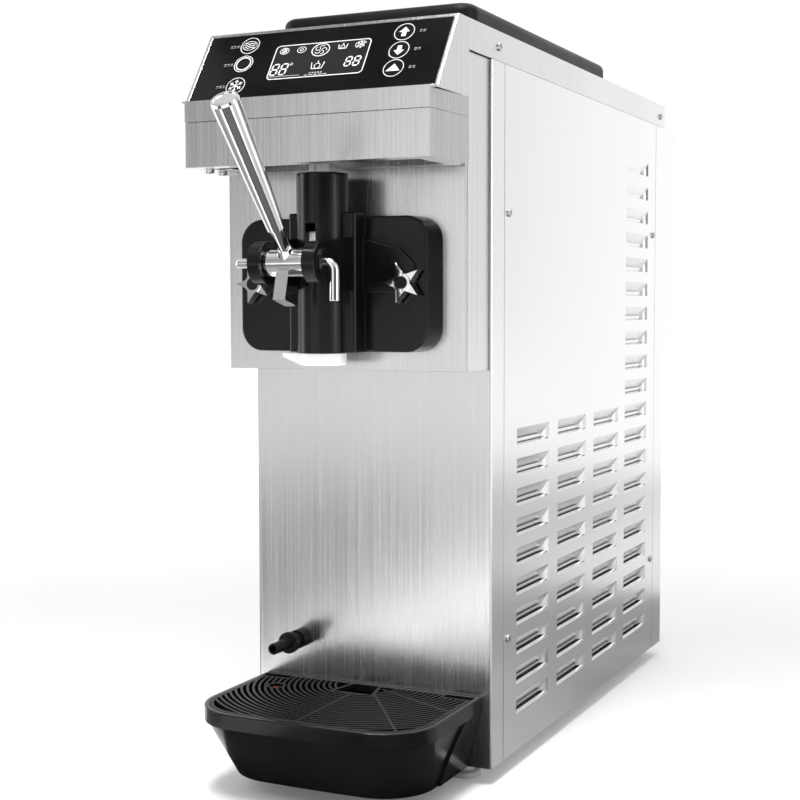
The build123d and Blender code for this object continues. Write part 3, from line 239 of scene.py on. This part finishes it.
class Paint:
    """A node-based material, wired with short calls."""

    def __init__(self, name):
        self.material = bpy.data.materials.new(name)
        self.material.use_nodes = True
        self.tree = self.material.node_tree
        self.tree.nodes.clear()
        self.shader = self.tree.nodes.new("ShaderNodeBsdfPrincipled")
        out = self.tree.nodes.new("ShaderNodeOutputMaterial")
        self.link(self.shader.outputs[0], out.inputs[0])
        self.where = self.tree.nodes.new("ShaderNodeTexCoord").outputs["Object"]
        self.normal = None

    def link(self, source, target):
        """Joins two sockets."""
        self.tree.links.new(source, target)

    def set(self, **values):
        """Constants straight on the shader's own sockets."""
        for name, value in values.items():
            self.shader.inputs[name.replace("_", " ")].default_value = value

    def noise(self, scale, detail=3.0, roughness=0.55, offset=(0, 0, 0)):
        """Noise with its own scale along each axis, in cycles per metre."""
        place = self.tree.nodes.new("ShaderNodeMapping")
        place.inputs["Scale"].default_value = scale
        place.inputs["Location"].default_value = offset
        self.link(self.where, place.inputs["Vector"])
        texture = self.tree.nodes.new("ShaderNodeTexNoise")
        texture.inputs["Scale"].default_value = 1.0
        texture.inputs["Detail"].default_value = detail
        texture.inputs["Roughness"].default_value = roughness
        self.link(place.outputs[0], texture.inputs["Vector"])
        return texture.outputs["Fac"]

    def cells(self, scale):
        """Distance to the nearest cell's middle, for pebbled surfaces."""
        texture = self.tree.nodes.new("ShaderNodeTexVoronoi")
        texture.inputs["Scale"].default_value = scale
        self.link(self.where, texture.inputs["Vector"])
        return texture.outputs["Distance"]

    def ramp(self, value, stops):
        """A texture's value turned into colours."""
        node = self.tree.nodes.new("ShaderNodeValToRGB")
        fill_ramp(node.color_ramp, stops)
        self.link(value, node.inputs[0])
        return node.outputs["Color"]

    def span(self, value, low, high, source=(0.3, 0.7)):
        """Carries a texture's middle range over to another range."""
        node = self.tree.nodes.new("ShaderNodeMapRange")
        node.inputs["From Min"].default_value = source[0]
        node.inputs["From Max"].default_value = source[1]
        node.inputs["To Min"].default_value = low
        node.inputs["To Max"].default_value = high
        self.link(value, node.inputs["Value"])
        return node.outputs["Result"]

    def math(self, operation, first, second):
        """One sum or product of textures and numbers."""
        node = self.tree.nodes.new("ShaderNodeMath")
        node.operation = operation
        for socket, value in zip(node.inputs, (first, second)):
            if isinstance(value, (int, float)):
                socket.default_value = value
            else:
                self.link(value, socket)
        return node.outputs[0]

    def blend(self, first, second, share):
        """Two textures added up, with this share of the first."""
        part = self.math("MULTIPLY", first, share)
        return self.math("ADD", part, self.math("MULTIPLY", second, 1 - share))

    def colour(self, value, stops):
        """Base colour from a texture."""
        self.link(self.ramp(value, stops), self.shader.inputs["Base Color"])

    def rough(self, value, low, high):
        """Roughness from a texture's middle range."""
        self.link(self.span(value, low, high), self.shader.inputs["Roughness"])

    def bump(self, height, strength, distance):
        """Adds a layer of surface relief, distance in metres."""
        node = self.tree.nodes.new("ShaderNodeBump")
        node.inputs["Strength"].default_value = strength
        node.inputs["Distance"].default_value = distance
        self.link(height, node.inputs["Height"])
        if self.normal:
            self.link(self.normal, node.inputs["Normal"])
        self.normal = node.outputs[0]
        self.link(self.normal, self.shader.inputs["Normal"])

    def soft_edges(self, radius):
        """Rounds the look of sharp edges by a small radius."""
        node = self.tree.nodes.new("ShaderNodeBevel")
        node.samples = 4
        node.inputs["Radius"].default_value = radius
        self.normal = node.outputs[0]
        self.link(self.normal, self.shader.inputs["Normal"])


def brushed_steel(name, dark, light, low_rough, high_rough, grain, relief):
    """Brushed stainless steel, its grain along the axis with the small scale."""
    paint = Paint(name)
    paint.set(Metallic=1.0)
    paint.soft_edges(0.0006)
    fine = paint.noise(grain, 4.0, 0.7)
    broad = paint.noise(tuple(0.22 * s for s in grain), 3.0, 0.6, (3.1, 1.7, 0.4))
    cloud = paint.noise((7, 7, 5), 2.0)
    streaks = paint.blend(fine, broad, 0.6)
    tone = paint.blend(streaks, cloud, 0.8)
    paint.colour(tone, [(0.36, dark), (0.5, (dark + light) / 2), (0.64, light)])
    paint.rough(streaks, low_rough, high_rough)
    paint.bump(streaks, relief, 0.0004)
    return paint.material


def polished(name, dark, light, rough, relief=0.03, tint=(1.0, 1.0, 1.0)):
    """Plated or polished metal with faint waviness, fine rubs and a little haze."""
    paint = Paint(name)
    paint.set(Metallic=1.0)
    haze = paint.noise((60, 60, 60), 4.0)
    rubs = paint.noise((900, 900, 300), 3.0, 0.7)
    dark_tint, light_tint = (tuple(tone * c for c in tint) for tone in (dark, light))
    paint.colour(haze, [(0.35, dark_tint), (0.65, light_tint)])
    paint.rough(paint.blend(haze, rubs, 0.5), rough, rough * 2.2)
    paint.bump(haze, relief, 0.0006)
    return paint.material


def moulded(name, dark, light, low_rough, high_rough, grain, relief, edge=0.0004, shine=0.5):
    """Injection-moulded plastic: pebbled skin, slight gloss changes and handling marks."""
    paint = Paint(name)
    paint.set(IOR=1.5, Specular_IOR_Level=shine)
    paint.soft_edges(edge)
    skin = paint.noise((grain, grain, grain), 3.0)
    patches = paint.noise((14, 14, 14), 3.0)
    paint.colour(patches, [(0.35, dark), (0.65, light)])
    paint.rough(paint.blend(patches, skin, 0.6), low_rough, high_rough)
    paint.bump(skin, relief, 0.0001)
    return paint.material


def grey(value):
    """A grey as a colour."""
    return (value, value, value)


def make_materials():
    """One finished material for each of the record's slots."""
    looks = {**metals(), **plastics(), "food_white": white_plastic(), "foam": foam()}
    for node in frame["record"]["subparts"]:
        surface = nodes[node["node"]].data
        surface.materials.clear()
        surface.materials.append(looks[node["material_slot"]])
    return looks


def metals():
    """Steel, plated and copper surfaces."""
    return {
        "front_steel": brushed_steel("front_steel", 0.62, 0.76, 0.20, 0.30, (1700, 1700, 7), 0.09),
        "side_steel": brushed_steel("side_steel", 0.77, 0.81, 0.22, 0.28, (1800, 1800, 9), 0.025),
        "food_steel": brushed_steel("food_steel", 0.62, 0.74, 0.14, 0.26, (300, 12, 300), 0.05),
        "pulley_alu": brushed_steel("pulley_alu", 0.58, 0.70, 0.30, 0.42, (700, 40, 700), 0.10),
        "galvanised": galvanised(),
        "screw_steel": polished("screw_steel", 0.50, 0.62, 0.16),
        "chrome": polished("chrome", 0.80, 0.88, 0.035),
        "copper": polished("copper", 0.70, 0.86, 0.18, 0.05, (0.95, 0.58, 0.42)),
    }


def plastics():
    """Moulded, painted and rubber surfaces: dark and light tone, roughness, grain and relief."""
    red, green = (0.30, 0.012, 0.008), (0.010, 0.085, 0.035)
    pale_red, pale_green = (0.42, 0.020, 0.012), (0.018, 0.140, 0.060)
    kinds = {
        "machine_paint": (grey(0.016), grey(0.030), 0.34, 0.52, 420, 0.20),
        "panel_gloss": (grey(0.0025), grey(0.0050), 0.10, 0.18, 260, 0.02, 0.0003, 0.22),
        "key_gloss": (grey(0.0045), grey(0.0085), 0.12, 0.22, 500, 0.03, 0.0003, 0.32),
        "display_dark": (grey(0.012), grey(0.017), 0.12, 0.20, 300, 0.02, 0.0003, 0.26),
        "door_black": (grey(0.003), grey(0.006), 0.16, 0.28, 1200, 0.06, 0.0010, 0.26),
        "black_satin": (grey(0.005), grey(0.009), 0.34, 0.50, 1100, 0.14, 0.0004, 0.16),
        "tray_gloss": (grey(0.003), grey(0.006), 0.14, 0.24, 800, 0.05, 0.0008, 0.26),
        "seal_rubber": (grey(0.012), grey(0.022), 0.60, 0.80, 1500, 0.25),
        "foot_grey": (grey(0.42), grey(0.52), 0.55, 0.75, 1300, 0.25),
        "float_red": (red, pale_red, 0.30, 0.45, 900, 0.08),
        "board_green": (green, pale_green, 0.30, 0.5, 900, 0.2),
    }
    return {name: moulded(name, *values) for name, values in kinds.items()}


def galvanised():
    """Zinc-coated sheet with spangle."""
    paint = Paint("galvanised")
    paint.set(Metallic=1.0)
    flakes = paint.cells(120)
    cloud = paint.noise((40, 40, 40), 3.0)
    paint.colour(flakes, [(0.1, grey(0.50)), (0.6, grey(0.64))])
    paint.rough(cloud, 0.38, 0.55)
    paint.bump(cloud, 0.08, 0.0005)
    return paint.material


def white_plastic():
    """Food-grade white plastic, very slightly waxy."""
    paint = Paint("food_white")
    paint.set(IOR=1.5, Subsurface_Weight=0.12, Subsurface_Radius=(0.003, 0.003, 0.0025))
    paint.soft_edges(0.0005)
    skin = paint.noise((700, 700, 700), 3.0)
    patches = paint.noise((30, 30, 30), 2.0)
    paint.colour(patches, [(0.35, (0.80, 0.80, 0.79)), (0.65, (0.87, 0.87, 0.86))])
    paint.rough(patches, 0.32, 0.46)
    paint.bump(skin, 0.08, 0.0001)
    return paint.material


def foam():
    """Cut insulation foam with open cells."""
    paint = Paint("foam")
    paint.set(Roughness=0.95)
    pores = paint.cells(700)
    paint.colour(pores, [(0.05, (0.62, 0.58, 0.44)), (0.5, (0.82, 0.78, 0.66))])
    paint.bump(pores, 0.5, 0.0006)
    return paint.material


def ink(name, tone):
    """Printed light ink with slight unevenness."""
    paint = Paint(name)
    fine = paint.noise((1800, 1800, 1800), 2.0)
    paint.colour(fine, [(0.3, grey(tone * 0.88)), (0.7, grey(tone))])
    paint.rough(fine, 0.40, 0.55)
    paint.bump(fine, 0.1, 0.00005)
    return paint.material


# Printed marks: flat outlines on the slanted panel

def on_panel(u, w, out):
    """A place on the panel: across, up the slope from its top edge, and out of its face."""
    return PANEL_TOP + Vector((u * MM, 0, 0)) - PANEL_DOWN * (w * MM) + PANEL_OUT * (out * MM)


def ring_band(cx, cy, rx, ry, width, steps=40, start=0.0, sweep=360.0):
    """Quads that make a closed or open band round an ellipse."""
    quads = []
    for step in range(steps):
        a = math.radians(start + sweep * step / steps)
        b = math.radians(start + sweep * (step + 1) / steps)
        inner = [(cx + (rx - width) * math.cos(t), cy + (ry - width) * math.sin(t)) for t in (a, b)]
        outer = [(cx + rx * math.cos(t), cy + ry * math.sin(t)) for t in (b, a)]
        quads.append(inner + outer)
    return quads


def bar(x0, y0, x1, y1, width):
    """One straight stroke."""
    length = math.hypot(x1 - x0, y1 - y0)
    nx, ny = -(y1 - y0) / length * width / 2, (x1 - x0) / length * width / 2
    return [[(x0 + nx, y0 + ny), (x0 - nx, y0 - ny), (x1 - nx, y1 - ny), (x1 + nx, y1 + ny)]]


def path(points, width):
    """Joined straight strokes."""
    strokes = []
    for (x0, y0), (x1, y1) in zip(points, points[1:]):
        strokes += bar(x0, y0, x1, y1, width)
    return strokes


def flake(cx, cy, size, width):
    """A six-armed snow mark."""
    strokes = []
    for arm in range(6):
        a = math.radians(30 + arm * 60)
        dx, dy = math.cos(a), math.sin(a)
        strokes += bar(cx + 0.1 * dx, cy + 0.1 * dy, cx + size * dx, cy + size * dy, width)
        for side in (-1, 1):
            b = a + side * math.radians(42)
            x, y = cx + 0.52 * size * dx, cy + 0.52 * size * dy
            strokes += bar(x, y, x + 0.36 * size * math.cos(b), y + 0.36 * size * math.sin(b), width)
    return strokes


def digit(cx, cy, height, width, stroke):
    """All seven segments of one numeral, leaning a little."""
    lean = 0.14
    half_w, half_h = width / 2, height / 2
    gap = stroke * 0.35
    ends = [((-half_w, y), (half_w, y)) for y in (half_h, 0, -half_h)]
    ends += [((x, low), (x, low + half_h)) for low in (0, -half_h) for x in (-half_w, half_w)]
    segments = []
    for (x0, y0), (x1, y1) in ends:
        length = math.hypot(x1 - x0, y1 - y0)
        dx, dy = (x1 - x0) / length, (y1 - y0) / length
        x0, y0, x1, y1 = x0 + dx * gap, y0 + dy * gap, x1 - dx * gap, y1 - dy * gap
        along_x, along_y = dx * stroke / 2, dy * stroke / 2
        outline = [(x0, y0), (x0 + along_x + along_y, y0 + along_y - along_x),
                   (x1 - along_x + along_y, y1 - along_y - along_x), (x1, y1),
                   (x1 - along_x - along_y, y1 - along_y + along_x),
                   (x0 + along_x - along_y, y0 + along_y + along_x)]
        segments.append([(cx + x + lean * y, cy + y) for x, y in outline])
    return segments


def add_piece(name, mesh, body, material):
    """Links a mesh as a piece, parented to an empty named after a CAD body."""
    piece = bpy.data.objects.new(name, mesh)
    bpy.context.scene.collection.objects.link(piece)
    mesh.materials.append(material)
    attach(piece, body)
    return piece


def add_print(name, outlines, body, material, base, thick=0.07):
    """Raises each outline into a thin printed layer on the panel. base is its height over the face."""
    bm = bmesh.new()
    for outline in outlines:
        area = sum(x0 * y1 - x1 * y0 for (x0, y0), (x1, y1) in zip(outline, outline[1:] + outline[:1]))
        if area < 0:
            outline = outline[::-1]
        low = [bm.verts.new(on_panel(x, y, base)) for x, y in outline]
        high = [bm.verts.new(on_panel(x, y, base + thick)) for x, y in outline]
        bm.faces.new(high)
        bm.faces.new(low[::-1])
        count = len(outline)
        for i in range(count):
            j = (i + 1) % count
            bm.faces.new((low[i], low[j], high[j], high[i]))
    bmesh.ops.recalc_face_normals(bm, faces=bm.faces)
    mesh = bpy.data.meshes.new(name)
    bm.to_mesh(mesh)
    bm.free()
    return add_piece(name, mesh, body, material)


def arrow(cx, cy, size, direction):
    """A block arrow pointing up or down."""
    d = direction
    head = [(cx - size, cy + d * 0.2), (cx, cy + d * size * 1.15), (cx + size, cy + d * 0.2)]
    shaft = [(cx - size * 0.42, cy + d * 0.2), (cx + size * 0.42, cy + d * 0.2),
             (cx + size * 0.42, cy - d * size), (cx - size * 0.42, cy - d * size)]
    return [head, shaft]


def wave(cx, cy, width, rise, stroke):
    """A short double wave."""
    points = []
    for step in range(17):
        t = step / 16
        points.append((cx + (t - 0.5) * width, cy + rise * math.sin(t * 4 * math.pi)))
    return path(points, stroke)


def key_picture(name, u, w):
    """The outlines of one key's picture."""
    if name == "blend_key":
        rows = [wave(u, w + row, 10.0, 0.7, 0.6) for row in (-2.2, 0.0, 2.2)]
        return ring_band(u, w, 7.0, 5.0, 0.5) + [stroke for row in rows for stroke in row]
    if name == "rinse_key":
        return ring_band(u, w, 7.2, 7.2, 1.1)
    if name == "keep_fresh_key":
        return flake(u, w, 6.6, 0.75)
    if name == "up_key":
        return arrow(u, w, 4.6, 1)
    if name == "down_key":
        return arrow(u, w, 4.6, -1)
    return [[(u - 6.2, w - 3.0), (u + 6.2, w - 3.0), (u, w + 4.4)]]


def key_marks(light_ink):
    """A ring and a picture on every key, each parented to an empty named after the key's body."""
    for name, (u, w) in KEY_PLACES.items():
        outlines = ring_band(u, w, 8.9, 8.9, 0.55) + key_picture(name, u, w)
        add_print(name + "_mark", outlines, name + "_body", light_ink, KEY_PRINT)


def rounded_frame(x0, x1, y0, y1, corner, width):
    """A thin band round a rounded rectangle."""
    quads = []
    corners = [(x1 - corner, y1 - corner, 0), (x0 + corner, y1 - corner, 90),
               (x0 + corner, y0 + corner, 180), (x1 - corner, y0 + corner, 270)]
    edge = []
    for cx, cy, start in corners:
        for step in range(7):
            a = math.radians(start + step * 15)
            edge.append((cx, cy, math.cos(a), math.sin(a)))
    for a, b in zip(edge, edge[1:] + edge[:1]):
        sides = ((a, corner - width), (b, corner - width), (b, corner), (a, corner))
        quads.append([(cx + reach * x, cy + reach * y) for (cx, cy, x, y), reach in sides])
    return quads


def display_marks(light_ink, grey_ink):
    """The display's border, numerals, mode pictures and level bars."""
    border = rounded_frame(*DISPLAY_EDGES, 4.0, 0.75)
    for name, outlines, shade in (("display_border", border, light_ink),
                                  ("display_numerals", display_numerals(), light_ink),
                                  ("display_pictures", display_pictures(), light_ink),
                                  ("display_bars", display_bars(), grey_ink)):
        add_print(name, outlines, "cabinet", shade, DISPLAY_PRINT)


def display_numerals():
    """Two numerals and a degree ring on the left, and two smaller numerals on the right."""
    numerals = digit(-39.0, -45.0, 11.5, 5.6, 1.25) + digit(-30.5, -45.0, 11.5, 5.6, 1.25)
    numerals += digit(28.6, -42.0, 9.5, 5.0, 1.15) + digit(36.4, -42.0, 9.5, 5.0, 1.15)
    return numerals + ring_band(-24.4, -40.0, 1.3, 1.3, 0.4, 20)


def display_pictures():
    """The row of mode pictures, from the left, and the large cup under them."""
    pictures = ring_band(-35.6, -25.0, 4.4, 3.5, 0.5) + flake(-35.6, -25.0, 3.0, 0.5)
    pictures += ring_band(-19.3, -25.0, 4.2, 3.4, 0.5) + ring_band(-19.3, -25.0, 1.8, 1.5, 0.5, 24)
    pictures += fan_picture(-1.0, -26.8)
    pictures += cup_picture(19.0, -25.0, 6.6)
    pictures += flake(35.6, -24.6, 3.9, 0.55) + ring_band(35.6, -24.6, 5.2, 3.9, 0.45, 30, 20, 220)
    return pictures + cup_picture(0.6, -43.6, 9.5)


def fan_picture(cx, cy):
    """Five open blades in a ring."""
    strokes = ring_band(cx, cy, 8.4, 7.0, 0.8)
    for turn in range(0, 360, 72):
        a = math.radians(turn)
        x, y = cx + 3.2 * math.cos(a), cy + 2.7 * math.sin(a)
        strokes += ring_band(x, y, 2.6, 2.2, 0.55, 14, turn - 30, 200)
    return strokes


def display_bars():
    """A long bar at the lower left, and two rows of short ones under the large cup."""
    bars = bar(-43.0, -52.6, -13.5, -52.6, 0.51)
    for left, foot, pitch, width, height in ((-5.0, -51.8, 2.6, 1.6, 1.2), (-9.0, -53.8, 4.4, 3.2, 0.9)):
        for step in range(5):
            x = left + pitch * step
            bars.append([(x, foot), (x + width, foot), (x + width, foot + height), (x, foot + height)])
    return bars


def cup_picture(cx, cy, size):
    """A cup between two posts."""
    half = size * 0.62
    strokes = path([(cx - half, cy + size * 0.35), (cx - half * 0.8, cy - size * 0.35),
                    (cx + half * 0.8, cy - size * 0.35), (cx + half, cy + size * 0.35)], 0.7)
    strokes += ring_band(cx, cy - size * 0.05, half * 0.5, size * 0.32, 0.6, 20)
    strokes += bar(cx, cy + size * 0.3, cx, cy + size * 0.52, 0.8)
    return strokes


def key_captions(grey_ink):
    """Short plain dashes beside the keys, in place of words."""
    dashes = []
    for u, w in KEY_PLACES.values():
        x = u - 19.0 if u < 0 else u + 13.5
        for part in range(3 if u < 0 else 2):
            start = x + part * 3.2
            for rise, width in ((0.8, 0.6), (-0.9, 0.5)):
                dashes += bar(start, w + rise, start + 2.2, w + rise, width)
    add_print("key_dashes", dashes, "cabinet", grey_ink, DASH_PRINT)


def panel_rim(material):
    """Bright folded edge round the black overlay: left, top and right."""
    outlines = [[(side * RIM_OUTER, RIM_FOOT), (side * RIM_INNER, RIM_FOOT),
                 (side * RIM_INNER, RIM_TOP_INNER), (side * RIM_OUTER, RIM_TOP)] for side in (-1, 1)]
    outlines.append([(-RIM_OUTER, RIM_TOP), (-RIM_INNER, RIM_TOP_INNER),
                     (RIM_INNER, RIM_TOP_INNER), (RIM_OUTER, RIM_TOP)])
    rim = add_print("panel_rim", outlines, "cabinet", material, 0.0, 0.35)


looks = make_materials()
light_ink = ink("light_ink", 0.82)
grey_ink = ink("grey_ink", 0.42)
add_camera()
add_world()
add_floor()
key_marks(light_ink)
display_marks(light_ink, grey_ink)
key_captions(grey_ink)
panel_rim(looks["front_steel"])

add_light("left_box", (-2.1, -0.9, 0.85), (0, -0.1, 0.35), 0.7, 1.7, 11)
add_light("right_box", (2.1, -0.4, 1.0), (0, 0, 0.3), 0.4, 1.6, 6)
add_light("top_box", (0.4, 0.7, 2.4), (0, 0, 0.3), 1.4, 1.4, 10)
add_light("floor_box", (0.15, -0.75, 1.7), (0.1, -0.75, 0.0), 0.7, 0.5, 9, 70)
add_flag("lever_flag", (0.21, -0.42, 0.005), 0.68, 0.50, 0.06)
add_flag("top_flag", (-0.35, -0.33, 1.3), 0.36, 0.36, 0.12)
add_flag("side_flag", (0.30, 0.25, 0.004), 0.36, 0.9, 0.36)
add_flag("side_far_flag", (0.98, 0.85, 0.004), 1.0, 2.4, 0.58)
add_flag("left_flag", (-0.72, -1.20, 0.004), 0.9, 2.0, 0.22)

bpy.context.scene.view_settings.view_transform = "Standard"
bpy.context.scene.view_settings.look = "None"
